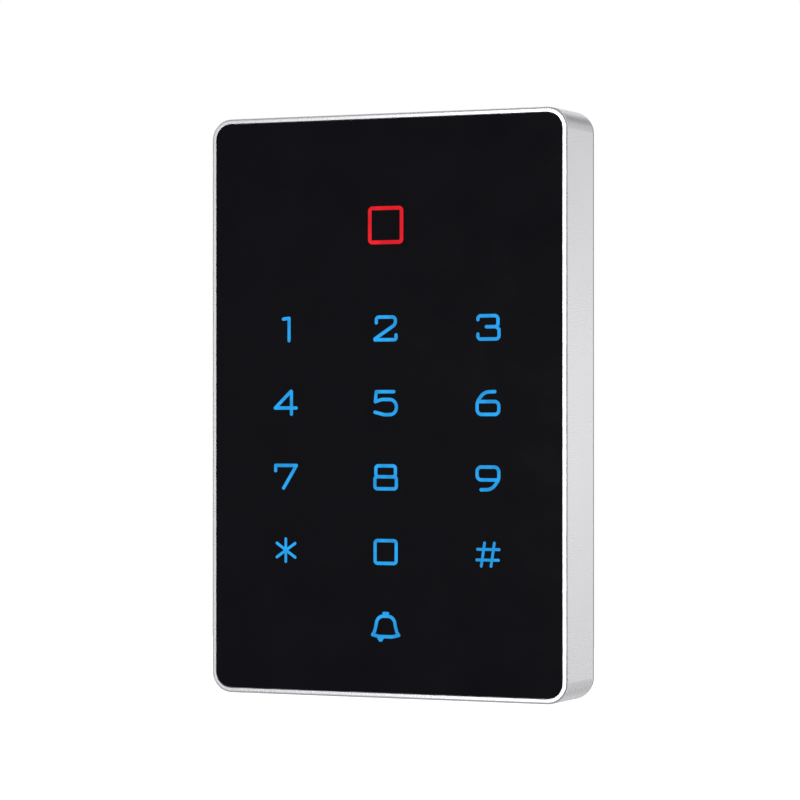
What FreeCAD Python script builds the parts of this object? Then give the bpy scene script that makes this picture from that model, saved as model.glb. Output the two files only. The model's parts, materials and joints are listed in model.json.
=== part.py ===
import FreeCAD, Part
import math
import os

from FreeCAD import Vector

# Keypad access reader. Millimetres, +Z up, front faces -Y, wall plane at y = 0.

# Overall size
WIDTH = 80.0
HEIGHT = 120.0
FRONT_Y = -15.6
CORNER_R = 4.4
FRONT_EDGE_R = 0.45
REAR_EDGE_R = 0.4

# Frame casting
RIM = 1.0
WALL = 1.6
FRAME_REAR_Y = -0.9
SHELF_FRONT_Y = FRONT_Y + 2.2
SHELF_REAR_Y = SHELF_FRONT_Y + 1.2
SHELF_INNER_X = 35.4
SHELF_INNER_Z = 55.4
RIB_HALF_X = 30.0
RIB_FRONT_Y = -2.4
RIB_REAR_Y = -1.3

# Touch panel and its legends
PANEL_GAP = 0.15
PANEL_FRONT_Y = FRONT_Y + 0.1
PANEL_REAR_Y = PANEL_FRONT_Y + 1.8
PANEL_EDGE = 0.1
LEGEND_DEPTH = 0.5
LEGEND_STROKE = 0.71
SYMBOL_STROKE = 0.59
STATUS_STROKE = 0.80
KEY_PITCH_X = 22.73
KEY_ROWS_Z = (15.8, 0.5, -14.75, -30.0)
BELL_Z = -45.25
STATUS_Z = 37.0

# Light mask, board and what sits on the board
FILM = 0.1
MASK_REAR_Y = PANEL_REAR_Y + 2.1
MASK_HALF_X = 31.0
MASK_TOP_Z = 44.0
MASK_BOTTOM_Z = -51.5
CELL_X = 11.0
CELL_Z = 10.4
PEG_R = 0.9
PEG_X = 26.0
PEG_ROWS_Z = (41.0, -7.1, -45.0)
BOARD_FRONT_Y = MASK_REAR_Y + 0.2
BOARD_REAR_Y = BOARD_FRONT_Y + 1.6
BOARD_HALF_X = 36.0
BOARD_HALF_Z = 56.0
COPPER = 0.1
BOARD_SCREW_X = 33.6
BOARD_SCREW_Z = 24.0
EAR_R = 2.6
M2_SHANK_R = 0.95
M2_HOLE_R = 1.0

# Rear cover, its seal and screws
COVER_FRONT_Y = -6.6
COVER_REAR_Y = -5.2
COVER_GAP = 0.3
PAN_REAR_Y = -1.9
PAN_FLOOR_Y = -3.4
PAN_X = 24.0
PAN_TOP_Z = 37.5
PAN_BOTTOM_Z = -37.5
SEAL_WIDTH = 1.4
SEAL_FRONT_Y = -7.2
LEDGE_FRONT_Y = -8.2
BOSS_X = 33.5
BOSS_Z = 53.5
BOSS_R = 3.0
M25_SHANK_R = 1.2
M25_HOLE_R = 1.25
HEADER_Z = 6.0
HEADER_X = 18.0
HEADER_DEPTH_Z = 5.0
HEADER_REAR_Y = -2.4
HEADER_PITCH = 2.0
WELL_HALF_X = 11.0
WELL_HALF_Z = 16.2

# Wall bracket and the locking screw
PLATE = 1.2
PLATE_HALF_X = 36.0
PLATE_TOP_Z = 56.0
PLATE_BOTTOM_Z = -56.6
GANG_SLOT_Z = 41.65
BOX_SLOT_X = 30.0
SLOT_R = 2.2
SLOT_LENGTH = 8.0
CABLE_X = 26.0
CABLE_Z = 34.0
HOOK_X = 20.0
HOOK_WIDTH = 12.0
TAB_HALF_X = 8.0
TAB_FRONT_Y = -7.4
SCREW_Y = -4.5
SCREW_R = 1.5
SCREW_HEAD_R = 2.75
SCREW_HEAD = 1.5
SCREW_TOP_Z = -51.6
COUNTERBORE_Z = -58.3
NUT_R = 2.7
NUT_HEIGHT = 2.6
NUT_BORE_R = 1.55
ALCOVE_HALF_X = 9.5
ALCOVE_TOP_Z = -50.6
ALCOVE_FRONT_Y = -7.8
ALCOVE_WALL = 1.5
ALCOVE_REAR_Y = -1.5
PAD_TOP_Z = -57.2

# Rear gasket
GASKET_STEP = 0.3
GASKET_WIDTH = 1.6

# Tamper switch
TAMPER_X = 18.0
TAMPER_Z = -27.0
PLUNGER_R = 1.5
PLUNGER_TIP_Y = -0.1
TAMPER_BODY_Y = -5.9

# Row of tall power parts on the board
POWER_ROW_Z = 31.5


def box(x0, x1, y0, y1, z0, z1):
    return Part.makeBox(x1 - x0, y1 - y0, z1 - z0, Vector(x0, y0, z0))


def box_at(x, z, size_x, size_z, y0, y1):
    return box(x - size_x / 2, x + size_x / 2, y0, y1, z - size_z / 2, z + size_z / 2)


def rod(x, z, radius, y0, y1):
    return Part.makeCylinder(radius, y1 - y0, Vector(x, y0, z), Vector(0, 1, 0))


def post(x, y, radius, z0, z1):
    return Part.makeCylinder(radius, z1 - z0, Vector(x, y, z0), Vector(0, 0, 1))


def path(points, closed=False):
    """Wire in the XZ plane through (x, z, corner radius) points."""
    places = [Vector(x, 0, z) for x, z, radius in points]
    count = len(points)
    turns = []
    for index, (x, z, radius) in enumerate(points):
        place = places[index]
        is_end = not closed and index in (0, count - 1)
        if is_end or radius == 0:
            turns.append((place, place, None))
            continue
        back = places[index - 1] - place
        ahead = places[(index + 1) % count] - place
        back.normalize()
        ahead.normalize()
        half = back.getAngle(ahead) / 2
        reach = radius / math.tan(half)
        middle = back + ahead
        middle.normalize()
        apex = place + middle * (radius / math.sin(half) - radius)
        turns.append((place + back * reach, place + ahead * reach, apex))
    edges = []
    for index, (start, end, apex) in enumerate(turns):
        if apex is not None:
            edges.append(Part.Arc(start, apex, end).toShape())
        if closed or index < count - 1:
            following = turns[(index + 1) % count][0]
            if following.distanceToPoint(end) > 1e-6:
                edges.append(Part.LineSegment(end, following).toShape())
    return Part.Wire(edges)


def slab(wire, y0, y1):
    """Solid that fills a closed XZ wire between two depths."""
    face = Part.Face(wire)
    face.translate(Vector(0, y0, 0))
    return face.extrude(Vector(0, y1 - y0, 0))


def rectangle_points(half_x, half_z):
    return [(-half_x, -half_z), (half_x, -half_z), (half_x, half_z), (-half_x, half_z)]


def rounded(half_x, half_z, radius, centre_z=0.0):
    points = rectangle_points(half_x, half_z)
    return path([(x, z + centre_z, radius) for x, z in points], closed=True)


def plate(half_x, half_z, radius, y0, y1, centre_z=0.0):
    return slab(rounded(half_x, half_z, radius, centre_z), y0, y1)


def ring(outer, inner, radius, y0, y1):
    """Rectangular ring between two (half width, half height) sizes."""
    inner_r = max(radius - (outer[0] - inner[0]), 0.5)
    body = plate(outer[0], outer[1], radius, y0, y1)
    return body.cut(plate(inner[0], inner[1], inner_r, y0 - 1, y1 + 1))


def slot(x, z, length, y0, y1, upright):
    """Round-ended cutter for a slotted bolt hole."""
    reach = length / 2 - SLOT_R
    step_x, step_z = (0, reach) if upright else (reach, 0)
    ends = [rod(x + side * step_x, z + side * step_z, SLOT_R, y0, y1) for side in (-1, 1)]
    size_x = SLOT_R * 2 if upright else reach * 2
    size_z = reach * 2 if upright else SLOT_R * 2
    return box_at(x, z, size_x, size_z, y0, y1).fuse(ends).removeSplitter()


def pan_screw(x, z, seat_y, head_r, head, shank_r, length):
    """Cross-recess screw driven towards -Y with its head on seat_y."""
    cap = rod(x, z, head_r, seat_y, seat_y + head)
    rim = [edge for edge in cap.Edges if edge.BoundBox.YMin > seat_y + head - 0.01]
    cap = cap.makeFillet(head * 0.45, rim[:1])
    shank = rod(x, z, shank_r, seat_y - length, seat_y)
    recess_y = seat_y + head * 0.4
    arm = head_r * 0.3
    long_arm = head_r * 1.15
    recess = box_at(x, z, long_arm, arm, recess_y, seat_y + head + 1)
    recess = recess.fuse(box_at(x, z, arm, long_arm, recess_y, seat_y + head + 1))
    return cap.fuse(shank).cut(recess).removeSplitter()


def corners(x, z):
    return [(side * x, level * z) for side in (-1, 1) for level in (-1, 1)]


# Legends: centre lines as (x, z, corner radius), each drawn with a round-ended stroke.

ONE = [(-0.62, 2.2, 0), (0.7, 2.34, 0), (0.7, -2.3, 0)]
TWO = [
    (-2.1, 1.2, 0), (-2.1, 2.35, 0.55), (2.2, 2.35, 0.7), (2.2, 0.85, 1.2),
    (-2.4, -2.1, 0), (-2.4, -2.3, 0), (2.35, -2.3, 0.4), (2.35, -1.35, 0),
]
THREE_TOP = [(-2.2, 1.6, 0), (-2.2, 2.35, 0.6), (2.2, 2.35, 0.7), (2.2, 0.6, 0), (1.8, 0.13, 0)]
THREE_LOW = [
    (-0.35, 0.13, 0), (1.8, 0.13, 0), (2.42, -0.4, 0), (2.42, -2.35, 0.7),
    (-2.2, -2.35, 0.6), (-2.2, -1.35, 0),
]
FOUR_SLOPE = [(1.15, 2.5, 0), (-2.5, -0.98, 0), (2.35, -0.98, 0)]
FOUR_STEM = [(1.25, 2.45, 0), (1.25, -2.25, 0)]
FIVE = [
    (1.85, 2.35, 0), (-2.1, 2.35, 0), (-2.32, 0.3, 0), (-0.9, 0.78, 2.5),
    (2.42, 0.72, 1.5), (2.42, -2.3, 1.45), (-0.3, -2.38, 3.0), (-2.4, -1.85, 0),
]
SIX = [
    (1.5, 2.3, 0), (-0.9, 2.25, 2.4), (-2.38, 0.2, 1.8), (-2.38, -2.3, 1.0),
    (2.38, -2.3, 0.9), (2.38, 0.3, 0.9), (-2.0, 0.3, 0),
]
SEVEN = [(-2.4, 1.25, 0), (-2.4, 2.35, 0), (2.4, 2.35, 0), (-0.55, -2.35, 0)]
EIGHT_TOP = [(-2.2, 0.16), (2.2, 0.16), (2.2, 2.4), (-2.2, 2.4)]
EIGHT_LOW = [(-2.42, -2.3), (2.42, -2.3), (2.42, 0.16), (-2.42, 0.16)]
STAR_ARMS = [
    [(-0.05, 2.35, 0), (-0.05, -2.35, 0)],
    [(-2.1, 1.45, 0), (2.1, -1.45, 0)],
    [(-2.1, -1.45, 0), (2.1, 1.45, 0)],
]
HASH_LINES = [
    [(-0.74, 2.2, 0), (-1.47, -2.5, 0)],
    [(1.4, 2.2, 0), (0.67, -2.5, 0)],
    [(-2.3, 0.9, 0), (2.45, 0.9, 0)],
    [(-2.45, -1.25, 0), (2.3, -1.25, 0)],
]
ZERO_HALF = (2.37, 2.33)
STATUS_HALF = (3.57, 3.5)
BELL = [
    (0.0, 2.1, 0), (1.85, 2.1, 1.6), (2.15, 0.2, 2.2), (2.5, -1.1, 0.8), (2.95, -1.75, 0),
    (1.5, -2.1, 2.0), (-1.5, -2.1, 2.0), (-2.95, -1.75, 0), (-2.5, -1.1, 0.8),
    (-2.15, 0.2, 2.2), (-1.85, 2.1, 1.6),
]
BELL_KNOB = [(-0.45, 2.7, 0), (0.5, 2.7, 0)]
BELL_CLAPPER = [(-2.0, -2.25, 0), (-0.25, -2.25, 0), (-0.85, -3.15, 0.3), (-1.45, -3.15, 0.3)]


def bar_outline(start, end, half_width):
    """Outline of one straight round-ended bar."""
    along = end - start
    along.normalize()
    across = along.cross(Vector(0, 1, 0)) * half_width
    reach = along * half_width
    return Part.Wire([
        Part.LineSegment(start + across, end + across).toShape(),
        Part.Arc(end + across, end + reach, end - across).toShape(),
        Part.LineSegment(end - across, start - across).toShape(),
        Part.Arc(start - across, start - reach, start + across).toShape(),
    ])


def stroke(points, width):
    """Round-ended solid stroke along an open centre line."""
    if len(points) == 2:
        ends = [Vector(x, 0, z) for x, z, radius in points]
        outline = bar_outline(ends[0], ends[1], width / 2)
    else:
        outline = path(points).makeOffset2D(width / 2)
    return slab(outline, PANEL_FRONT_Y, PANEL_FRONT_Y + LEGEND_DEPTH)


def loop_stroke(points, width, outer_r, inner_r):
    """Closed stroke between an outline half a width out and one half a width in."""
    middle_x = sum(x for x, z in points) / len(points)
    middle_z = sum(z for x, z in points) / len(points)
    solids = []
    for side, radius in ((1, outer_r), (-1, inner_r)):
        grown = []
        for x, z in points:
            grown_x = x + math.copysign(width / 2, x - middle_x) * side
            grown_z = z + math.copysign(width / 2, z - middle_z) * side
            grown.append((grown_x, grown_z, radius))
        margin = 0 if side == 1 else 1
        outline = path(grown, closed=True)
        solids.append(slab(outline, PANEL_FRONT_Y - margin, PANEL_FRONT_Y + LEGEND_DEPTH + margin))
    return solids[0].cut(solids[1])


def joined(shapes):
    return shapes[0].multiFuse(shapes[1:]).removeSplitter()


def one():
    return stroke(ONE, LEGEND_STROKE)


def two():
    return stroke(TWO, LEGEND_STROKE)


def three():
    return joined([stroke(line, LEGEND_STROKE) for line in (THREE_TOP, THREE_LOW)])


def four():
    return joined([stroke(line, LEGEND_STROKE) for line in (FOUR_SLOPE, FOUR_STEM)])


def five():
    return stroke(FIVE, LEGEND_STROKE)


def six():
    """Two strokes that meet at the middle of the foot, since the whole line closes on itself."""
    foot = (0.0, -2.3, 0)
    return joined([stroke(line, LEGEND_STROKE) for line in (SIX[:4] + [foot], [foot] + SIX[4:])])


def seven():
    return stroke(SEVEN, LEGEND_STROKE)


def eight():
    return joined([loop_stroke(line, LEGEND_STROKE, 0.9, 0.25) for line in (EIGHT_TOP, EIGHT_LOW)])


def nine():
    turned = six()
    turned.rotate(Vector(0, 0, 0), Vector(0, 1, 0), 180)
    return turned


def zero():
    return loop_stroke(rectangle_points(*ZERO_HALF), LEGEND_STROKE, 0.9, 0.15)


def star():
    return joined([stroke(line, SYMBOL_STROKE) for line in STAR_ARMS])


def hash_sign():
    return joined([stroke(line, SYMBOL_STROKE) for line in HASH_LINES])


def bell():
    outline = path(BELL, closed=True)
    depths = (PANEL_FRONT_Y, PANEL_FRONT_Y + LEGEND_DEPTH)
    outer = slab(outline.makeOffset2D(LEGEND_STROKE / 2), *depths)
    inner = slab(outline.makeOffset2D(-LEGEND_STROKE / 2), depths[0] - 1, depths[1] + 1)
    clapper = slab(path(BELL_CLAPPER, closed=True), *depths)
    return joined([outer.cut(inner), stroke(BELL_KNOB, SYMBOL_STROKE), clapper])


def status_square():
    return loop_stroke(rectangle_points(*STATUS_HALF), STATUS_STROKE, 1.0, 0.2)


LEGEND_PLACES = {
    "legend_1": (one, -KEY_PITCH_X, KEY_ROWS_Z[0]),
    "legend_2": (two, 0, KEY_ROWS_Z[0]),
    "legend_3": (three, KEY_PITCH_X, KEY_ROWS_Z[0]),
    "legend_4": (four, -KEY_PITCH_X, KEY_ROWS_Z[1]),
    "legend_5": (five, 0, KEY_ROWS_Z[1]),
    "legend_6": (six, KEY_PITCH_X, KEY_ROWS_Z[1]),
    "legend_7": (seven, -KEY_PITCH_X, KEY_ROWS_Z[2]),
    "legend_8": (eight, 0, KEY_ROWS_Z[2]),
    "legend_9": (nine, KEY_PITCH_X, KEY_ROWS_Z[2]),
    "legend_star": (star, -KEY_PITCH_X, KEY_ROWS_Z[3]),
    "legend_0": (zero, 0, KEY_ROWS_Z[3]),
    "legend_hash": (hash_sign, KEY_PITCH_X, KEY_ROWS_Z[3]),
    "legend_bell": (bell, 0, BELL_Z),
    "status_square": (status_square, 0, STATUS_Z),
}

KEY_CENTRES = [(x, z) for draw, x, z in LEGEND_PLACES.values() if z != STATUS_Z]


def legends():
    """Every lit legend, flush in the panel front."""
    shapes = {}
    for name, (draw, x, z) in LEGEND_PLACES.items():
        shape = draw()
        shape.translate(Vector(x, 0, z))
        shapes[name] = shape
    return shapes


def touch_panel(lit):
    """Black panel with a shallow pocket for each legend."""
    half_x = WIDTH / 2 - RIM - PANEL_GAP
    half_z = HEIGHT / 2 - RIM - PANEL_GAP
    body = plate(half_x, half_z, CORNER_R - RIM - PANEL_GAP, PANEL_FRONT_Y, PANEL_REAR_Y)
    front = [edge for edge in body.Edges if edge.BoundBox.YMax < PANEL_FRONT_Y + 0.01]
    body = body.makeChamfer(PANEL_EDGE, front)
    return body.cut(list(lit.values()))


def cover_outline(inset):
    """Outline of the rear cover, stepped round the screw alcove at the bottom."""
    half_x = WIDTH / 2 - WALL - COVER_GAP - inset
    half_z = HEIGHT / 2 - WALL - COVER_GAP - inset
    notch_x = ALCOVE_HALF_X + ALCOVE_WALL + COVER_GAP + inset
    notch_z = ALCOVE_TOP_Z + ALCOVE_WALL + COVER_GAP + inset
    return path([
        (-half_x, half_z, 2.4), (-half_x, -half_z, 2.4), (-notch_x, -half_z, 0.6),
        (-notch_x, notch_z, 1.0), (notch_x, notch_z, 1.0), (notch_x, -half_z, 0.6),
        (half_x, -half_z, 2.4), (half_x, half_z, 2.4),
    ], closed=True)


def screw_slot(width, z0, z1):
    """Cutter for a slot round the locking screw, open to the rear."""
    radius = width / 2
    return post(0, SCREW_Y, radius, z0, z1).fuse(box(-radius, radius, SCREW_Y, 1, z0, z1))


def housing_frame():
    outer = plate(WIDTH / 2, HEIGHT / 2, CORNER_R, FRONT_Y, FRAME_REAR_Y)
    front = [edge for edge in outer.Edges if edge.BoundBox.YMax < FRONT_Y + 0.01]
    outer = outer.makeFillet(FRONT_EDGE_R, front)
    rear = [edge for edge in outer.Edges if edge.BoundBox.YMin > FRAME_REAR_Y - 0.01]
    outer = outer.makeFillet(REAR_EDGE_R, rear)
    recess_x = WIDTH / 2 - RIM
    recess_z = HEIGHT / 2 - RIM
    recess = plate(recess_x, recess_z, CORNER_R - RIM, FRONT_Y - 1, SHELF_FRONT_Y)
    throat = plate(SHELF_INNER_X, SHELF_INNER_Z, 2.0, SHELF_FRONT_Y - 1, SHELF_REAR_Y + 1)
    inner_x = WIDTH / 2 - WALL
    inner_z = HEIGHT / 2 - WALL
    hollow = plate(inner_x, inner_z, CORNER_R - WALL, SHELF_REAR_Y, 0)
    body = outer.cut([recess, throat, hollow])

    alcove_x = ALCOVE_HALF_X + ALCOVE_WALL
    alcove_top = ALCOVE_TOP_Z + ALCOVE_WALL
    bottom = -HEIGHT / 2 + WALL / 2
    front_y = ALCOVE_FRONT_Y - ALCOVE_WALL
    alcove = box(-alcove_x, alcove_x, front_y, ALCOVE_REAR_Y, bottom, alcove_top)
    room = box(-ALCOVE_HALF_X, ALCOVE_HALF_X, ALCOVE_FRONT_Y, 0, PAD_TOP_Z, ALCOVE_TOP_Z)
    ledge = slab(cover_outline(-COVER_GAP - 0.2), LEDGE_FRONT_Y, SEAL_FRONT_Y)
    ledge = ledge.cut(slab(cover_outline(SEAL_WIDTH), LEDGE_FRONT_Y - 1, SEAL_FRONT_Y + 1))
    bosses = [rod(x, z, BOSS_R, SHELF_REAR_Y, COVER_FRONT_Y) for x, z in corners(BOSS_X, BOSS_Z)]
    ears = [
        rod(x, z, EAR_R, SHELF_FRONT_Y, BOARD_FRONT_Y)
        for x, z in corners(BOARD_SCREW_X, BOARD_SCREW_Z)
    ]
    rib_top = HEIGHT / 2 - WALL / 2
    rib = box(-RIB_HALF_X, RIB_HALF_X, RIB_FRONT_Y, RIB_REAR_Y, PLATE_TOP_Z, rib_top)
    body = body.multiFuse([alcove, ledge, rib] + bosses + ears)

    holes = [
        rod(x, z, M25_HOLE_R, COVER_FRONT_Y - 5, COVER_FRONT_Y + 1) for x, z in corners(BOSS_X, BOSS_Z)
    ]
    holes += [
        rod(x, z, M2_HOLE_R, SHELF_FRONT_Y + 0.1, BOARD_FRONT_Y + 1)
        for x, z in corners(BOARD_SCREW_X, BOARD_SCREW_Z)
    ]
    low = -HEIGHT / 2 - 1
    holes.append(screw_slot(SCREW_R * 2 + 0.7, low, PAD_TOP_Z + 1))
    holes.append(screw_slot(SCREW_HEAD_R * 2 + 0.7, low, COUNTERBORE_Z))
    return body.cut([room] + holes).removeSplitter()


def panel_adhesive():
    outer = (WIDTH / 2 - RIM - 0.4, HEIGHT / 2 - RIM - 0.4)
    inner = (SHELF_INNER_X + 0.3, SHELF_INNER_Z + 0.3)
    return ring(outer, inner, CORNER_R - RIM - 0.4, PANEL_REAR_Y, SHELF_FRONT_Y)


def light_mask():
    """Opaque grid with one open cell for each lit legend, pegged to the board."""
    middle = (MASK_TOP_Z + MASK_BOTTOM_Z) / 2
    half_z = (MASK_TOP_Z - MASK_BOTTOM_Z) / 2
    body = plate(MASK_HALF_X, half_z, 2.0, PANEL_REAR_Y + FILM, MASK_REAR_Y, middle)
    cells = [
        box_at(x, z, CELL_X, CELL_Z, PANEL_REAR_Y - 1, MASK_REAR_Y + 1)
        for draw, x, z in LEGEND_PLACES.values()
    ]
    reliefs = [
        box_at(x, z, CELL_X + 1.6, CELL_Z + 1.6, MASK_REAR_Y - 0.6, MASK_REAR_Y + 1)
        for draw, x, z in LEGEND_PLACES.values()
    ]
    pegs = [
        rod(side * PEG_X, z, PEG_R, MASK_REAR_Y - 0.5, BOARD_REAR_Y + 0.2)
        for side in (-1, 1)
        for z in PEG_ROWS_Z
    ]
    feet = [
        rod(side * PEG_X, z, PEG_R + 0.7, MASK_REAR_Y - 0.5, BOARD_FRONT_Y)
        for side in (-1, 1)
        for z in PEG_ROWS_Z
    ]
    return body.cut(cells + reliefs).multiFuse(pegs + feet).removeSplitter()


def diffuser_film():
    middle = (MASK_TOP_Z + MASK_BOTTOM_Z) / 2
    half_z = (MASK_TOP_Z - MASK_BOTTOM_Z) / 2 - 0.5
    return plate(MASK_HALF_X - 0.5, half_z, 1.5, PANEL_REAR_Y, PANEL_REAR_Y + FILM, middle)


def main_board():
    body = plate(BOARD_HALF_X, BOARD_HALF_Z, 1.5, BOARD_FRONT_Y, BOARD_REAR_Y)
    low, high = BOARD_FRONT_Y - 1, BOARD_REAR_Y + 1
    cuts = []
    for x, z in corners(BOSS_X, BOSS_Z):
        cuts.append(rod(x, z, BOSS_R + 0.5, low, high))
        cuts.append(box_at(x * 1.08, z * 1.05, 5.0, 5.0, low, high))
    for x, z in corners(BOARD_SCREW_X, BOARD_SCREW_Z):
        cuts.append(rod(x, z, M2_HOLE_R + 0.15, low, high))
    for side in (-1, 1):
        cuts += [rod(side * PEG_X, z, PEG_R + 0.05, low, high) for z in PEG_ROWS_Z]
    return body.cut(cuts)


def key_lamps():
    """A pair of small lamps under each blue legend."""
    lamps = []
    for x, z in KEY_CENTRES:
        for side in (-1, 1):
            foot = box_at(x + side * 1.6, z, 1.6, 0.8, BOARD_FRONT_Y - 0.25, BOARD_FRONT_Y)
            lens = box_at(x + side * 1.6, z, 1.0, 0.8, BOARD_FRONT_Y - 0.6, BOARD_FRONT_Y - 0.25)
            lamps.append(foot.fuse(lens).removeSplitter())
    return Part.makeCompound(lamps)


def status_lamp():
    """Three-colour lamp with a round lens, under the status square."""
    depth = BOARD_FRONT_Y
    body = box_at(0, STATUS_Z, 3.0, 2.8, depth - 1.1, depth)
    bowl = rod(0, STATUS_Z, 1.15, depth - 2, depth - 0.9)
    lens = rod(0, STATUS_Z, 1.15, depth - 1.0, depth - 0.9)
    return body.cut(bowl).fuse(lens).removeSplitter()


def touch_electrodes():
    """Copper frame round the lamps of each key."""
    pads = []
    for x, z in KEY_CENTRES:
        outer = box_at(x, z, 9.6, 8.8, BOARD_FRONT_Y - COPPER, BOARD_FRONT_Y)
        pads.append(outer.cut(box_at(x, z, 6.0, 3.6, BOARD_FRONT_Y - 1, BOARD_FRONT_Y + 1)))
    return Part.makeCompound(pads)


def antenna_coil():
    """Four copper turns round the rear of the board."""
    turns = []
    for turn in range(4):
        outer = (31.6 - turn * 0.9, 51.4 - turn * 0.9)
        inner = (outer[0] - 0.5, outer[1] - 0.5)
        turns.append(ring(outer, inner, 6.0 - turn * 0.9, BOARD_REAR_Y, BOARD_REAR_Y + COPPER))
    return Part.makeCompound(turns)


def chip(x, z, size_x, size_z, height, leads_x, leads_z, pitch):
    """Moulded package with flat leads along its X sides and Z sides."""
    floor = BOARD_REAR_Y
    body = box_at(x, z, size_x, size_z, floor + 0.1, floor + height)
    top = [edge for edge in body.Edges if edge.BoundBox.YMin > floor + height - 0.01]
    body = body.makeChamfer(0.12, top)
    mark = rod(x - size_x / 2 + 0.9, z + size_z / 2 - 0.9, 0.3, floor + height - 0.08, floor + height + 1)
    parts = []
    for count, along_x in ((leads_x, False), (leads_z, True)):
        for index in range(count):
            step = (index - (count - 1) / 2) * pitch
            for side in (-1, 1):
                if along_x:
                    lead_x, lead_z = x + step, z + side * (size_z / 2 + 0.35)
                    size = (pitch * 0.45, 0.9)
                else:
                    lead_x, lead_z = x + side * (size_x / 2 + 0.35), z + step
                    size = (0.9, pitch * 0.45)
                parts.append(box_at(lead_x, lead_z, size[0], size[1], floor, floor + 0.25))
    return body.cut(mark).multiFuse(parts).removeSplitter()


def microcontroller():
    return chip(-6, -16, 10.0, 10.0, 1.4, 12, 12, 0.65)


def touch_controller():
    return chip(8, -14, 5.4, 8.2, 1.6, 12, 0, 0.65)


def rfid_chip():
    return chip(-18, 22, 6.0, 6.0, 1.0, 8, 8, 0.65)


def memory_chip():
    return chip(-8, -28, 4.0, 5.0, 1.6, 4, 0, 1.27)


def voltage_regulator():
    """Three-leg regulator on its heat tab."""
    floor = BOARD_REAR_Y
    z = POWER_ROW_Z
    body = box_at(15, z, 6.6, 6.2, floor + 0.1, floor + 2.3)
    tab = box_at(15, z + 3.8, 5.4, 2.0, floor, floor + 0.5)
    legs = [box_at(15 + step, z - 4.1, 0.8, 2.4, floor, floor + 0.5) for step in (-2.3, 0, 2.3)]
    return body.multiFuse([tab] + legs).removeSplitter()


def crystal():
    can = plate(4.9, 1.9, 1.85, BOARD_REAR_Y + 0.4, BOARD_REAR_Y + 3.2, -21.5)
    base = plate(5.6, 2.3, 2.2, BOARD_REAR_Y, BOARD_REAR_Y + 0.4, -21.5)
    body = can.fuse(base).removeSplitter()
    body.translate(Vector(8, 0, -2))
    return body


def power_inductor():
    floor = BOARD_REAR_Y
    z = POWER_ROW_Z
    body = box_at(5, z, 6.6, 6.6, floor, floor + 2.8)
    upright = [edge for edge in body.Edges if abs(edge.BoundBox.YLength - 2.8) < 0.05]
    body = body.makeChamfer(1.2, upright)
    groove = rod(5, z, 2.7, floor + 2.6, floor + 4).cut(rod(5, z, 2.2, floor + 2, floor + 5))
    return body.cut(groove)


def capacitor(x, z):
    """Can capacitor on a square base."""
    floor = BOARD_REAR_Y
    base = box_at(x, z, 6.6, 6.6, floor, floor + 1.0)
    can = rod(x, z, 3.1, floor + 1.0, floor + 5.6)
    rim = [edge for edge in can.Edges if edge.BoundBox.YMin > floor + 5.59]
    can = can.makeFillet(0.35, rim[:1])
    score = box_at(x, z, 4.6, 0.25, floor + 5.5, floor + 6)
    return base.fuse(can).cut(score).removeSplitter()


def bulk_capacitors():
    return Part.makeCompound([capacitor(x, POWER_ROW_Z) for x in (-5, -13)])


def lock_relay():
    floor = BOARD_REAR_Y
    body = box_at(-16.5, -3, 7.4, 15.0, floor + 0.3, floor + 5.6)
    edges = [edge for edge in body.Edges if edge.BoundBox.YMin > floor + 5.59]
    body = body.makeFillet(0.4, edges)
    feet = [
        box_at(-16.5 + side * 4.0, -3 + step, 1.2, 0.6, floor, floor + 0.5)
        for side in (-1, 1)
        for step in (-6.0, -2.0, 2.0, 6.0)
    ]
    return body.multiFuse(feet).removeSplitter()


def diodes():
    """Surge diodes beside the harness header."""
    floor = BOARD_REAR_Y
    parts = []
    for x in (-7, 0, 7):
        body = box_at(x, 16.5, 4.2, 2.6, floor + 0.1, floor + 2.1)
        ends = [box_at(x + side * 2.3, 16.5, 0.8, 1.4, floor, floor + 1.0) for side in (-1, 1)]
        parts.append(body.multiFuse(ends).removeSplitter())
    return Part.makeCompound(parts)


def buzzer():
    """Round sounder with its sound hole."""
    floor = BOARD_REAR_Y
    drum = rod(17.4, -4.5, 4.6, floor, floor + 4.2)
    top = [edge for edge in drum.Edges if edge.BoundBox.YMin > floor + 4.19]
    drum = drum.makeFillet(0.4, top[:1])
    return drum.cut(rod(17.4, -4.5, 1.0, floor + 3.2, floor + 5))


def harness_header():
    """Eight-way socket, open to the rear, that takes the harness plug."""
    floor = BOARD_REAR_Y
    body = box_at(0, HEADER_Z, HEADER_X, HEADER_DEPTH_Z, floor, HEADER_REAR_Y)
    well = box_at(0, HEADER_Z, HEADER_X - 1.6, HEADER_DEPTH_Z - 1.6, floor + 1.4, HEADER_REAR_Y + 1)
    latches = [
        box_at(side * 6.0, HEADER_Z - HEADER_DEPTH_Z / 2, 1.2, 2.4, HEADER_REAR_Y - 4, HEADER_REAR_Y + 1)
        for side in (-1, 1)
    ]
    pins = [box_at(x, HEADER_Z, 0.5, 0.5, floor - 1, floor + 2) for x in header_pin_places()]
    return body.cut([well] + latches + pins)


def header_pin_places():
    return [(index - 3.5) * HEADER_PITCH for index in range(8)]


def header_pins():
    """Square pins in the socket."""
    pins = []
    for x in header_pin_places():
        pins.append(box_at(x, HEADER_Z, 0.5, 0.5, BOARD_REAR_Y, HEADER_REAR_Y - 1.6))
    return Part.makeCompound(pins)


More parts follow.
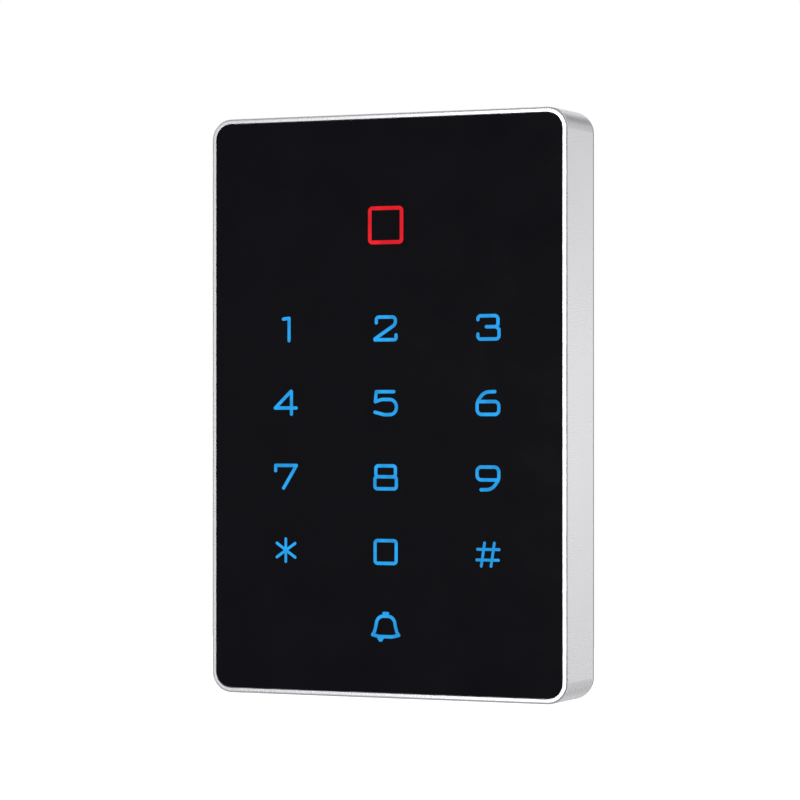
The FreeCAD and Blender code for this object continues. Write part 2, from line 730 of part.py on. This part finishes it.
def tamper_switch():
    """Small square switch with a bore for its plunger."""
    floor = BOARD_REAR_Y
    body = box_at(TAMPER_X, TAMPER_Z, 6.2, 6.2, floor, TAMPER_BODY_Y)
    bore = rod(TAMPER_X, TAMPER_Z, PLUNGER_R + 0.05, floor + 0.6, TAMPER_BODY_Y + 1)
    pegs = [
        rod(TAMPER_X + x, TAMPER_Z + z, 0.45, TAMPER_BODY_Y, TAMPER_BODY_Y + 0.2)
        for x, z in corners(2.4, 2.4)
    ]
    return body.cut(bore).multiFuse(pegs).removeSplitter()


def tamper_plunger():
    """Plunger that the wall holds in; its tip is domed."""
    pin = rod(TAMPER_X, TAMPER_Z, PLUNGER_R, BOARD_REAR_Y + 1.9, PLUNGER_TIP_Y)
    tip = [edge for edge in pin.Edges if edge.BoundBox.YMin > PLUNGER_TIP_Y - 0.01]
    return pin.makeFillet(0.8, tip[:1])


def small_parts(places, size_x, size_z, height, neck):
    """Two-terminal surface parts: raised body between two end caps."""
    floor = BOARD_REAR_Y
    parts = []
    for x, z in places:
        caps = box_at(x, z, size_x, size_z, floor, floor + height)
        waist = box_at(x, z, size_x * 0.5, size_z + 1, floor - 1, floor + neck)
        parts.append(caps.cut(waist))
    return Part.makeCompound(parts)


def chip_resistors():
    places = [(x, -36.5) for x in (-18, -14.5, -11, -7.5, -4, -0.5, 3, 6.5)]
    places += [(x, 44.5) for x in (-20, -16, -12, -8, 8, 12, 16, 20)]
    places += [(27, z) for z in (-35, -31, -27, -23, 10, 14, 18, 22)]
    return small_parts(places, 2.0, 1.25, 0.55, 0.06)


def chip_capacitors():
    places = [(x, -33.2) for x in (-3, 1, 5)]
    places += [(-27, z) for z in (-30, -26, -22, -18, 12, 16, 20, 24)]
    places += [(-18, 15), (-11, 21), (16.5, 21.5), (20.5, 14), (0, -3), (4, -3)]
    return small_parts(places, 2.0, 1.25, 1.1, 0.06)


def board_screws():
    return Part.makeCompound([
        pan_screw(x, z, BOARD_REAR_Y, 1.9, 1.3, M2_SHANK_R, 3.4)
        for x, z in corners(BOARD_SCREW_X, BOARD_SCREW_Z)
    ])


def rear_cover():
    """Plate with a raised pan over the tall parts and a well round the harness header."""
    body = slab(cover_outline(0), COVER_FRONT_Y, COVER_REAR_Y)
    middle = (PAN_TOP_Z + PAN_BOTTOM_Z) / 2
    half_z = (PAN_TOP_Z - PAN_BOTTOM_Z) / 2
    pan = plate(PAN_X, half_z, 3.0, COVER_FRONT_Y, PAN_REAR_Y, middle)
    rim = [edge for edge in pan.Edges if edge.BoundBox.YMin > PAN_REAR_Y - 0.01]
    pan = pan.makeFillet(0.8, rim)
    wall = PAN_REAR_Y - PAN_FLOOR_Y
    inside = plate(PAN_X - wall, half_z - wall, 1.6, COVER_FRONT_Y - 1, PAN_FLOOR_Y, middle)
    well_wall = (WELL_HALF_X + wall, WELL_HALF_Z + wall)
    inside = inside.cut(plate(*well_wall, 3.0, COVER_FRONT_Y - 2, 0, HEADER_Z))
    well = plate(WELL_HALF_X, WELL_HALF_Z, 2.0, COVER_REAR_Y, 0, HEADER_Z)
    window = box_at(0, HEADER_Z, HEADER_X + 0.6, HEADER_DEPTH_Z + 0.6, COVER_FRONT_Y - 1, 0)
    plunger_hole = rod(TAMPER_X, TAMPER_Z, PLUNGER_R + 0.35, PAN_FLOOR_Y - 1, 0)
    holes = [
        rod(x, z, M25_SHANK_R + 0.3, COVER_FRONT_Y - 1, COVER_REAR_Y + 1)
        for x, z in corners(BOSS_X, BOSS_Z)
    ]
    return body.fuse(pan).cut([inside, well, window, plunger_hole] + holes).removeSplitter()


def rear_cover_seal():
    """Soft ring squeezed between the frame's ledge and the rear cover."""
    outer = slab(cover_outline(0), SEAL_FRONT_Y, COVER_FRONT_Y)
    body = outer.cut(slab(cover_outline(SEAL_WIDTH), SEAL_FRONT_Y - 1, COVER_FRONT_Y + 1))
    return body.cut([rod(x, z, BOSS_R + 0.05, SEAL_FRONT_Y - 1, 0) for x, z in corners(BOSS_X, BOSS_Z)])


def rear_cover_screws():
    return Part.makeCompound([
        pan_screw(x, z, COVER_REAR_Y, 2.3, 1.7, M25_SHANK_R, 6.2) for x, z in corners(BOSS_X, BOSS_Z)
    ])


def rating_label():
    """Blank label on the pan."""
    return plate(15.0, 8.0, 1.0, PAN_REAR_Y, PAN_REAR_Y + FILM, 28.0)


def rear_gasket():
    """Soft ring on the rear edge of the frame, broken at the locking screw."""
    outer = (WIDTH / 2 - GASKET_STEP, HEIGHT / 2 - GASKET_STEP)
    inner = (outer[0] - GASKET_WIDTH, outer[1] - GASKET_WIDTH)
    body = ring(outer, inner, CORNER_R - GASKET_STEP, FRAME_REAR_Y, 0)
    return body.cut(box(-SCREW_HEAD_R - 1, SCREW_HEAD_R + 1, -2, 1, -HEIGHT / 2, PLATE_BOTTOM_Z))


def hook(x):
    """Lip at the bracket's top edge, leaning forward over the frame's rib."""
    edge = PLATE_TOP_Z
    profile = [
        (0, edge - PLATE), (0, edge), (-3.0, edge), (-4.0, edge + 1.0),
        (-4.85, edge + 0.15), (-3.5, edge - PLATE),
    ]
    side = x - HOOK_WIDTH / 2
    outline = Part.makePolygon([Vector(side, y, z) for y, z in profile + profile[:1]])
    return Part.Face(outline).extrude(Vector(HOOK_WIDTH, 0, 0))


def wall_bracket():
    """Pressed steel plate with two hooks, a bottom tab and slots for a wall box."""
    middle = (PLATE_TOP_Z + PLATE_BOTTOM_Z) / 2
    half_z = (PLATE_TOP_Z - PLATE_BOTTOM_Z) / 2
    body = plate(PLATE_HALF_X, half_z, 3.0, -PLATE, 0, middle)
    hooks = [hook(side * HOOK_X) for side in (-1, 1)]
    tab_top = PLATE_BOTTOM_Z + PLATE
    tab = box(-TAB_HALF_X, TAB_HALF_X, TAB_FRONT_Y, 0, PLATE_BOTTOM_Z, tab_top)
    front = [edge for edge in tab.Edges if edge.BoundBox.YMax < TAB_FRONT_Y + 0.01]
    ends = [edge for edge in front if edge.BoundBox.ZLength > 1]
    tab = tab.makeFillet(2.0, ends)
    body = body.multiFuse(hooks + [tab]).removeSplitter()
    cuts = [slot(0, level * GANG_SLOT_Z, SLOT_LENGTH, -PLATE - 1, 1, True) for level in (-1, 1)]
    cuts += [slot(side * BOX_SLOT_X, 0, SLOT_LENGTH, -PLATE - 1, 1, False) for side in (-1, 1)]
    cuts.append(plate(CABLE_X / 2, CABLE_Z / 2, 4.0, -PLATE - 1, 1, HEADER_Z))
    cuts.append(plate(4.0, 4.0, 1.5, -PLATE - 1, 1, TAMPER_Z))
    cuts[-1].translate(Vector(TAMPER_X, 0, 0))
    cuts += [rod(x, z, 2.0, -PLATE - 1, 1) for x, z in corners(26, 46)]
    cuts.append(post(0, SCREW_Y, NUT_BORE_R + 0.55, PLATE_BOTTOM_Z - 1, tab_top + 1))
    return body.cut(cuts).removeSplitter()


def clinch_nut():
    """Threaded insert pressed into the bottom tab."""
    seat = PLATE_BOTTOM_Z + PLATE
    flange = post(0, SCREW_Y, NUT_R, seat, seat + NUT_HEIGHT)
    spigot = post(0, SCREW_Y, NUT_BORE_R + 0.53, seat - PLATE + 0.1, seat)
    bore = post(0, SCREW_Y, NUT_BORE_R, seat - PLATE, seat + NUT_HEIGHT + 1)
    return flange.fuse(spigot).cut(bore).removeSplitter()


def security_screw():
    """Button-head screw with a six-lobe recess and a centre pin."""
    seat = COUNTERBORE_Z
    low = seat - SCREW_HEAD
    head = post(0, SCREW_Y, SCREW_HEAD_R, low, seat)
    edge = [edge for edge in head.Edges if edge.BoundBox.ZMax < low + 0.01]
    head = head.makeFillet(SCREW_HEAD * 0.75, edge[:1])
    shank = post(0, SCREW_Y, SCREW_R, seat, SCREW_TOP_Z)
    tip = [edge for edge in shank.Edges if edge.BoundBox.ZMin > SCREW_TOP_Z - 0.01]
    shank = shank.makeChamfer(0.3, tip[:1])
    recess = post(0, SCREW_Y, 0.95, low - 1, low + 0.9)
    lobes = []
    for index in range(6):
        angle = math.radians(index * 60)
        lobe_x = math.cos(angle) * 0.95
        lobe_y = SCREW_Y + math.sin(angle) * 0.95
        lobes.append(post(lobe_x, lobe_y, 0.28, low - 1, low + 0.9))
    pin = post(0, SCREW_Y, 0.35, low - 2, low + 2)
    recess = recess.multiFuse(lobes).cut(pin)
    return head.fuse(shank).cut(recess).removeSplitter()


def all_parts():
    lit = legends()
    parts = dict(lit)
    parts.update({
        "wall_bracket": wall_bracket(),
        "clinch_nut": clinch_nut(),
        "security_screw": security_screw(),
        "housing_frame": housing_frame(),
        "touch_panel": touch_panel(lit),
        "panel_adhesive": panel_adhesive(),
        "light_mask": light_mask(),
        "diffuser_film": diffuser_film(),
        "main_board": main_board(),
        "key_lamps": key_lamps(),
        "status_lamp": status_lamp(),
        "touch_electrodes": touch_electrodes(),
        "antenna_coil": antenna_coil(),
        "microcontroller": microcontroller(),
        "touch_controller": touch_controller(),
        "rfid_chip": rfid_chip(),
        "memory_chip": memory_chip(),
        "crystal": crystal(),
        "voltage_regulator": voltage_regulator(),
        "power_inductor": power_inductor(),
        "bulk_capacitors": bulk_capacitors(),
        "lock_relay": lock_relay(),
        "diodes": diodes(),
        "buzzer": buzzer(),
        "harness_header": harness_header(),
        "header_pins": header_pins(),
        "tamper_switch": tamper_switch(),
        "tamper_plunger": tamper_plunger(),
        "chip_resistors": chip_resistors(),
        "chip_capacitors": chip_capacitors(),
        "board_screws": board_screws(),
        "rear_cover": rear_cover(),
        "rear_cover_seal": rear_cover_seal(),
        "rear_cover_screws": rear_cover_screws(),
        "rating_label": rating_label(),
        "rear_gasket": rear_gasket(),
    })
    return parts


os.makedirs("parts", exist_ok=True)
for node, shape in all_parts().items():
    shape.exportStep(os.path.join("parts", node + ".step"))
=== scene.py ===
import json
import math

import bpy
from mathutils import Matrix, Vector


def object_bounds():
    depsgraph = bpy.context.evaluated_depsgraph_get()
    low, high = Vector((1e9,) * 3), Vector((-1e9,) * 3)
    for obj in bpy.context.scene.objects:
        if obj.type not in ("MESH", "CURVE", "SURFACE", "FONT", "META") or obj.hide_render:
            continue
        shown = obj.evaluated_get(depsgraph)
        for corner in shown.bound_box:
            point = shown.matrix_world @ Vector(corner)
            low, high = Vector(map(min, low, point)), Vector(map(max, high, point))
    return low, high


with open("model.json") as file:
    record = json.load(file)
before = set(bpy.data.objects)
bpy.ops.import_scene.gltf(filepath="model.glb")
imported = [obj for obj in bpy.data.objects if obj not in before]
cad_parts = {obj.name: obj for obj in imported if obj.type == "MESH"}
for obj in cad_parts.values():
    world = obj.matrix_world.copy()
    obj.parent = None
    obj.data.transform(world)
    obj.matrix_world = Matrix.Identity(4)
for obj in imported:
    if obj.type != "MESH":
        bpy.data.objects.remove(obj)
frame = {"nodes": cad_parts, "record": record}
cad_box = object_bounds()

SENSOR_MM = 36.0
LENS_MM = 150.037
CAMERA_AZIMUTH = 24.228
CAMERA_ELEVATION = -0.220
CAMERA_DISTANCE = 0.69101
CAMERA_RIGHT = -0.0004956
CAMERA_UP = 0.0011782
PIVOT_BEHIND_FRONT = 0.0085
WORLD_STRENGTH = 2.12
KEY_WATTS = 18.0
FLOOR_SIZE = 4.0
FLOOR_DROP = 0.14

BLUE = (0.024, 0.392, 0.922)
RED = (0.888, 0.0168, 0.0262)


# Node helpers

def new_material(name):
    material = bpy.data.materials.new(name)
    material.use_nodes = True
    tree = material.node_tree
    tree.nodes.clear()
    output = tree.nodes.new("ShaderNodeOutputMaterial")
    shader = tree.nodes.new("ShaderNodeBsdfPrincipled")
    tree.links.new(shader.outputs["BSDF"], output.inputs["Surface"])
    return material, tree, shader


def place(tree):
    """Object coordinates, which are the row frame in metres."""
    return tree.nodes.new("ShaderNodeTexCoord").outputs["Object"]


def noise(tree, scale, detail=3.0, rough=0.5, stretch=(1, 1, 1)):
    mapping = tree.nodes.new("ShaderNodeMapping")
    mapping.inputs["Scale"].default_value = stretch
    tree.links.new(place(tree), mapping.inputs["Vector"])
    texture = tree.nodes.new("ShaderNodeTexNoise")
    texture.inputs["Scale"].default_value = scale
    texture.inputs["Detail"].default_value = detail
    texture.inputs["Roughness"].default_value = rough
    tree.links.new(mapping.outputs["Vector"], texture.inputs["Vector"])
    return texture.outputs["Fac"]


def cells(tree, scale, feature="F1", stretch=(1, 1, 1)):
    mapping = tree.nodes.new("ShaderNodeMapping")
    mapping.inputs["Scale"].default_value = stretch
    tree.links.new(place(tree), mapping.inputs["Vector"])
    texture = tree.nodes.new("ShaderNodeTexVoronoi")
    texture.feature = feature
    texture.inputs["Scale"].default_value = scale
    tree.links.new(mapping.outputs["Vector"], texture.inputs["Vector"])
    return texture


def spread(tree, value, low, high, start=0.35, end=0.65):
    """Maps a texture value to a range."""
    node = tree.nodes.new("ShaderNodeMapRange")
    node.inputs["From Min"].default_value = start
    node.inputs["From Max"].default_value = end
    node.inputs["To Min"].default_value = low
    node.inputs["To Max"].default_value = high
    tree.links.new(value, node.inputs["Value"])
    return node.outputs["Result"]


def blend_colours(tree, value, first, second):
    node = tree.nodes.new("ShaderNodeMix")
    node.data_type = "RGBA"
    node.inputs["A"].default_value = (*first, 1)
    node.inputs["B"].default_value = (*second, 1)
    tree.links.new(value, node.inputs["Factor"])
    return node.outputs["Result"]


def bump(tree, shader, value, strength, distance):
    node = tree.nodes.new("ShaderNodeBump")
    node.inputs["Strength"].default_value = strength
    node.inputs["Distance"].default_value = distance
    tree.links.new(value, node.inputs["Height"])
    tree.links.new(node.outputs["Normal"], shader.inputs["Normal"])


def combine(tree, operation, first, second):
    node = tree.nodes.new("ShaderNodeMath")
    node.operation = operation
    for socket, value in zip(node.inputs, (first, second)):
        if isinstance(value, float):
            socket.default_value = value
        else:
            tree.links.new(value, socket)
    return node.outputs["Value"]


def ramp(tree, value, stops):
    """Piecewise strength along a direction component from -1 to 1."""
    scaled = tree.nodes.new("ShaderNodeMapRange")
    scaled.inputs["From Min"].default_value = -1
    scaled.inputs["From Max"].default_value = 1
    tree.links.new(value, scaled.inputs["Value"])
    node = tree.nodes.new("ShaderNodeValToRGB")
    elements = node.color_ramp.elements
    elements.remove(elements[1])
    for index, (position, strength) in enumerate(stops):
        element = elements[0] if index == 0 else elements.new((position + 1) / 2)
        element.position = (position + 1) / 2
        element.color = (strength, strength, strength, 1)
    tree.links.new(scaled.outputs["Result"], node.inputs["Fac"])
    return node.outputs["Color"]


def tint(colour, factor):
    return tuple(min(1.0, channel * factor) for channel in colour)


def surface(name, colour, rough, metallic=0.0, grain=900, variation=0.08, relief=0.0, depth=0.00002):
    """General moulded, painted or plated surface: colour, roughness and relief vary with fine grain."""
    material, tree, shader = new_material(name)
    broad = spread(tree, noise(tree, grain / 12), 0, 1)
    fine = noise(tree, grain, detail=4)
    pair = (tint(colour, 1 - variation), tint(colour, 1 + variation))
    tree.links.new(blend_colours(tree, broad, *pair), shader.inputs["Base Color"])
    low, high = rough
    tree.links.new(spread(tree, fine, low, high), shader.inputs["Roughness"])
    shader.inputs["Metallic"].default_value = metallic
    if relief:
        bump(tree, shader, fine, relief, depth)
    return material


# Materials

def frame_silver():
    """Satin silver paint over a die casting."""
    material, tree, shader = new_material("frame_silver")
    cloud = spread(tree, noise(tree, 60, detail=2), 0, 1)
    grain = noise(tree, 5200, detail=2)
    tree.links.new(
        blend_colours(tree, cloud, (0.852, 0.842, 0.874), (0.872, 0.862, 0.895)),
        shader.inputs["Base Color"],
    )
    tree.links.new(spread(tree, grain, 0.25, 0.32), shader.inputs["Roughness"])
    shader.inputs["Metallic"].default_value = 0.50
    bump(tree, shader, grain, 0.02, 0.00001)
    return material


def panel_black():
    """Polished black panel with the faintest polishing haze."""
    material, tree, shader = new_material("panel_black")
    haze = noise(tree, 70, detail=5, rough=0.6)
    tree.links.new(
        blend_colours(tree, spread(tree, haze, 0, 1), (0.0050, 0.0044, 0.0066), (0.0060, 0.0053, 0.0077)),
        shader.inputs["Base Color"],
    )
    tree.links.new(spread(tree, haze, 0.045, 0.075), shader.inputs["Roughness"])
    shader.inputs["IOR"].default_value = 1.5
    return material


def lit(name, colour, deep):
    """Window lit from behind, a little uneven along its strokes."""
    material, tree, shader = new_material(name)
    glow = spread(tree, noise(tree, 420, detail=2), 0, 1)
    mixed = blend_colours(tree, glow, deep, colour)
    shader.inputs["Base Color"].default_value = (*tint(colour, 0.05), 1)
    tree.links.new(mixed, shader.inputs["Emission Color"])
    shader.inputs["Emission Strength"].default_value = 1.0
    tree.links.new(spread(tree, noise(tree, 2500), 0.05, 0.08), shader.inputs["Roughness"])
    return material


def circuit_board():
    """Green solder mask over copper tracks, with bare glass fibre showing darker between them."""
    material, tree, shader = new_material("board_green")
    tracks = cells(tree, 260, "DISTANCE_TO_EDGE", (1, 1, 0.45)).outputs["Distance"]
    lines = spread(tree, tracks, 1, 0, 0.04, 0.07)
    weave = spread(tree, noise(tree, 2600, detail=2, stretch=(1, 1, 3)), 0, 0.35)
    base = blend_colours(tree, weave, (0.006, 0.060, 0.026), (0.010, 0.085, 0.036))
    mix = tree.nodes.new("ShaderNodeMix")
    mix.data_type = "RGBA"
    tree.links.new(lines, mix.inputs["Factor"])
    tree.links.new(base, mix.inputs["A"])
    mix.inputs["B"].default_value = (0.030, 0.190, 0.070, 1)
    tree.links.new(mix.outputs["Result"], shader.inputs["Base Color"])
    tree.links.new(spread(tree, weave, 0.25, 0.36, 0, 0.35), shader.inputs["Roughness"])
    bump(tree, shader, lines, 0.3, 0.00003)
    return material


def zinc_sheet():
    """Zinc-plated steel sheet with a soft crystalline spangle and faint rolling lines."""
    material, tree, shader = new_material("bracket_steel")
    spangle = cells(tree, 190).outputs["Color"]
    grey = tree.nodes.new("ShaderNodeRGBToBW")
    tree.links.new(spangle, grey.inputs["Color"])
    tree.links.new(
        blend_colours(tree, grey.outputs["Val"], (0.50, 0.51, 0.525), (0.57, 0.58, 0.595)),
        shader.inputs["Base Color"],
    )
    shader.inputs["Metallic"].default_value = 0.9
    rolled = noise(tree, 900, detail=3, stretch=(3, 3, 0.12))
    tree.links.new(spread(tree, rolled, 0.30, 0.46), shader.inputs["Roughness"])
    bump(tree, shader, rolled, 0.1, 0.00001)
    return material


def gasket_silicone():
    """Soft grey silicone with a fine moulded grain."""
    material, tree, shader = new_material("gasket_grey")
    grain = noise(tree, 2600, detail=3)
    cloud = spread(tree, noise(tree, 120), 0, 1)
    tree.links.new(
        blend_colours(tree, cloud, (0.298, 0.298, 0.314), (0.324, 0.324, 0.341)), shader.inputs["Base Color"]
    )
    tree.links.new(spread(tree, grain, 0.55, 0.70), shader.inputs["Roughness"])
    bump(tree, shader, grain, 0.25, 0.00003)
    return material


def spark_plastic():
    """Black moulding with a spark-eroded texture."""
    material, tree, shader = new_material("cover_plastic")
    pits = noise(tree, 3600, detail=5, rough=0.7)
    broad = spread(tree, noise(tree, 45), 0, 1)
    tree.links.new(
        blend_colours(tree, broad, (0.018, 0.018, 0.019), (0.026, 0.026, 0.028)), shader.inputs["Base Color"]
    )
    tree.links.new(spread(tree, pits, 0.48, 0.66), shader.inputs["Roughness"])
    bump(tree, shader, pits, 0.45, 0.00005)
    return material


def turned_steel():
    """Zinc-plated screw steel with fine turning marks."""
    material, tree, shader = new_material("screw_steel")
    marks = noise(tree, 4200, detail=3, stretch=(1, 1, 6))
    tree.links.new(
        blend_colours(tree, spread(tree, noise(tree, 500), 0, 1), (0.50, 0.50, 0.52), (0.62, 0.62, 0.63)),
        shader.inputs["Base Color"],
    )
    shader.inputs["Metallic"].default_value = 1.0
    tree.links.new(spread(tree, marks, 0.22, 0.36), shader.inputs["Roughness"])
    bump(tree, shader, marks, 0.15, 0.00001)
    return material


def label_foil():
    """Blank silver polyester label with a faint brushed grain."""
    material, tree, shader = new_material("label_silver")
    grain = noise(tree, 1800, detail=3, stretch=(0.08, 1, 1))
    tree.links.new(
        blend_colours(tree, spread(tree, grain, 0, 1), (0.60, 0.61, 0.62), (0.68, 0.69, 0.70)),
        shader.inputs["Base Color"],
    )
    shader.inputs["Metallic"].default_value = 0.6
    tree.links.new(spread(tree, grain, 0.34, 0.46), shader.inputs["Roughness"])
    return material


MATERIALS = {
    "frame_silver": frame_silver(),
    "panel_black": panel_black(),
    "legend_blue": lit("legend_blue", BLUE, tint(BLUE, 0.74)),
    "status_red": lit("status_red", RED, tint(RED, 0.74)),
    "board_green": circuit_board(),
    "bracket_steel": zinc_sheet(),
    "gasket_grey": gasket_silicone(),
    "cover_plastic": spark_plastic(),
    "screw_steel": turned_steel(),
    "label_silver": label_foil(),
    "adhesive": surface("adhesive", (0.03, 0.03, 0.03), (0.7, 0.85), grain=1500, relief=0.3),
    "film_white": surface("film_white", (0.80, 0.80, 0.78), (0.4, 0.55), grain=1200, variation=0.03),
    "mask_plastic": surface("mask_plastic", (0.03, 0.03, 0.03), (0.5, 0.65), grain=2400, relief=0.3),
    "copper": surface("copper", (0.72, 0.36, 0.17), (0.25, 0.4), metallic=1.0, grain=2400),
    "lamp_blue": surface("lamp_blue", (0.70, 0.76, 0.80), (0.15, 0.3), grain=2600, variation=0.05),
    "chip_black": surface("chip_black", (0.018, 0.018, 0.019), (0.45, 0.6), grain=3000, relief=0.25),
    "can_metal": surface("can_metal", (0.55, 0.55, 0.57), (0.25, 0.38), metallic=1.0, grain=2600),
    "ferrite": surface("ferrite", (0.045, 0.045, 0.05), (0.55, 0.7), grain=2200, relief=0.3),
    "relay_plastic": surface("relay_plastic", (0.06, 0.055, 0.05), (0.35, 0.5), grain=2400, relief=0.15),
    "header_plastic": surface("header_plastic", (0.68, 0.64, 0.54), (0.4, 0.52), grain=1800, variation=0.05),
    "pin_metal": surface("pin_metal", (0.75, 0.66, 0.45), (0.22, 0.34), metallic=1.0, grain=2600),
    "ceramic": surface("ceramic", (0.40, 0.26, 0.15), (0.4, 0.55), grain=2600),
    "resistor_black": surface("resistor_black", (0.02, 0.02, 0.022), (0.25, 0.4), grain=2600),
    "seal_rubber": surface("seal_rubber", (0.02, 0.02, 0.021), (0.55, 0.7), grain=1800, relief=0.2),
    "plunger_plastic": surface(
        "plunger_plastic", (0.72, 0.72, 0.69), (0.3, 0.42), grain=1600, variation=0.04
    ),
}


def dress_nodes():
    """Gives every carried-over node the material of its slot in the record."""
    for part in frame["record"]["subparts"]:
        node = frame["nodes"][part["node"]]
        node.data.materials.clear()
        node.data.materials.append(MATERIALS[part["material_slot"]])


# Light, world and camera

def world_pattern(tree):
    """Brightness by direction: pale behind, dark in front, with one dark strip and a brighter level band."""
    direction = tree.nodes.new("ShaderNodeTexCoord").outputs["Generated"]
    split = tree.nodes.new("ShaderNodeSeparateXYZ")
    tree.links.new(direction, split.inputs["Vector"])
    depth = ramp(tree, split.outputs["Y"], ((-0.2, 0.04), (0.35, 0.80)))
    band = ramp(
        tree,
        split.outputs["Z"],
        ((-0.30, 0.62), (-0.12, 0.55), (-0.02, 1.0), (0.02, 1.0), (0.12, 0.54), (0.30, 0.74)),
    )
    flag = ramp(
        tree,
        split.outputs["X"],
        ((-0.04, 0.0), (0.10, 1.0), (0.22, 0.85), (0.34, 0.15), (0.40, 0.0)),
    )
    reach = ramp(
        tree,
        split.outputs["Z"],
        ((-0.30, 0.35), (-0.12, 0.25), (0.0, 0.0), (0.14, 0.4), (0.30, 1.0)),
    )
    glow = combine(tree, "MULTIPLY", combine(tree, "MULTIPLY", band, depth), WORLD_STRENGTH)
    open_share = combine(tree, "SUBTRACT", 1.0, combine(tree, "MULTIPLY", flag, reach))
    return combine(tree, "MULTIPLY", glow, open_share)


def world_light():
    """Plain white backdrop to the eye, and the studio pattern to reflections and shading."""
    world = bpy.data.worlds.new("studio")
    bpy.context.scene.world = world
    world.use_nodes = True
    tree = world.node_tree
    tree.nodes.clear()
    output = tree.nodes.new("ShaderNodeOutputWorld")
    backdrop = tree.nodes.new("ShaderNodeBackground")
    backdrop.inputs["Color"].default_value = (1, 1, 1, 1)
    backdrop.inputs["Strength"].default_value = 1.0
    lighting = tree.nodes.new("ShaderNodeBackground")
    tree.links.new(world_pattern(tree), lighting.inputs["Strength"])
    mix = tree.nodes.new("ShaderNodeMixShader")
    tree.links.new(tree.nodes.new("ShaderNodeLightPath").outputs["Is Camera Ray"], mix.inputs["Fac"])
    tree.links.new(lighting.outputs["Background"], mix.inputs[1])
    tree.links.new(backdrop.outputs["Background"], mix.inputs[2])
    tree.links.new(mix.outputs["Shader"], output.inputs["Surface"])


def key_light():
    """Tall soft box well in front of the object and a little to one side."""
    light = bpy.data.lights.new("key_front", "AREA")
    light.shape = "RECTANGLE"
    light.size = 0.20
    light.size_y = 0.5
    light.energy = KEY_WATTS
    item = bpy.data.objects.new("key_front", light)
    item.location = (-0.20, -1.5, 0.0)
    item.rotation_euler = (-item.location).to_track_quat("-Z", "Y").to_euler()
    bpy.context.scene.collection.objects.link(item)


def pale_floor():
    """Plain white floor well below the object, which hangs as on a wall."""
    bpy.ops.mesh.primitive_plane_add(size=FLOOR_SIZE, location=(0, 0, cad_box[0][2] - FLOOR_DROP))
    floor = bpy.context.object
    floor.name = "studio_floor"
    material, _, shader = new_material("studio_floor")
    shader.inputs["Base Color"].default_value = (0.9, 0.9, 0.9, 1)
    shader.inputs["Roughness"].default_value = 0.9
    shader.inputs["Emission Color"].default_value = (1, 1, 1, 1)
    shader.inputs["Emission Strength"].default_value = 0.9
    floor.data.materials.append(material)
    floor.visible_glossy = False
    floor.visible_diffuse = False


def place_camera():
    azimuth = math.radians(CAMERA_AZIMUTH)
    elevation = math.radians(CAMERA_ELEVATION)
    back = Vector((
        math.sin(azimuth) * math.cos(elevation),
        -math.cos(azimuth) * math.cos(elevation),
        math.sin(elevation),
    ))
    right = Vector((math.cos(azimuth), math.sin(azimuth), 0))
    up = back.cross(right)
    low, high = cad_box
    centre = Vector(((low[0] + high[0]) / 2, low[1] + PIVOT_BEHIND_FRONT, 0))
    camera = bpy.data.cameras.new("camera")
    camera.lens = LENS_MM
    camera.sensor_width = SENSOR_MM
    camera.clip_start = 0.02
    item = bpy.data.objects.new("camera", camera)
    turn = Matrix((right, up, back)).transposed().to_4x4()
    item.matrix_world = Matrix.Translation(
        centre + back * CAMERA_DISTANCE + right * CAMERA_RIGHT + up * CAMERA_UP
    ) @ turn
    bpy.context.scene.collection.objects.link(item)
    bpy.context.scene.camera = item


bpy.context.scene.view_settings.view_transform = "Standard"
dress_nodes()
world_light()
key_light()
pale_floor()
place_camera()
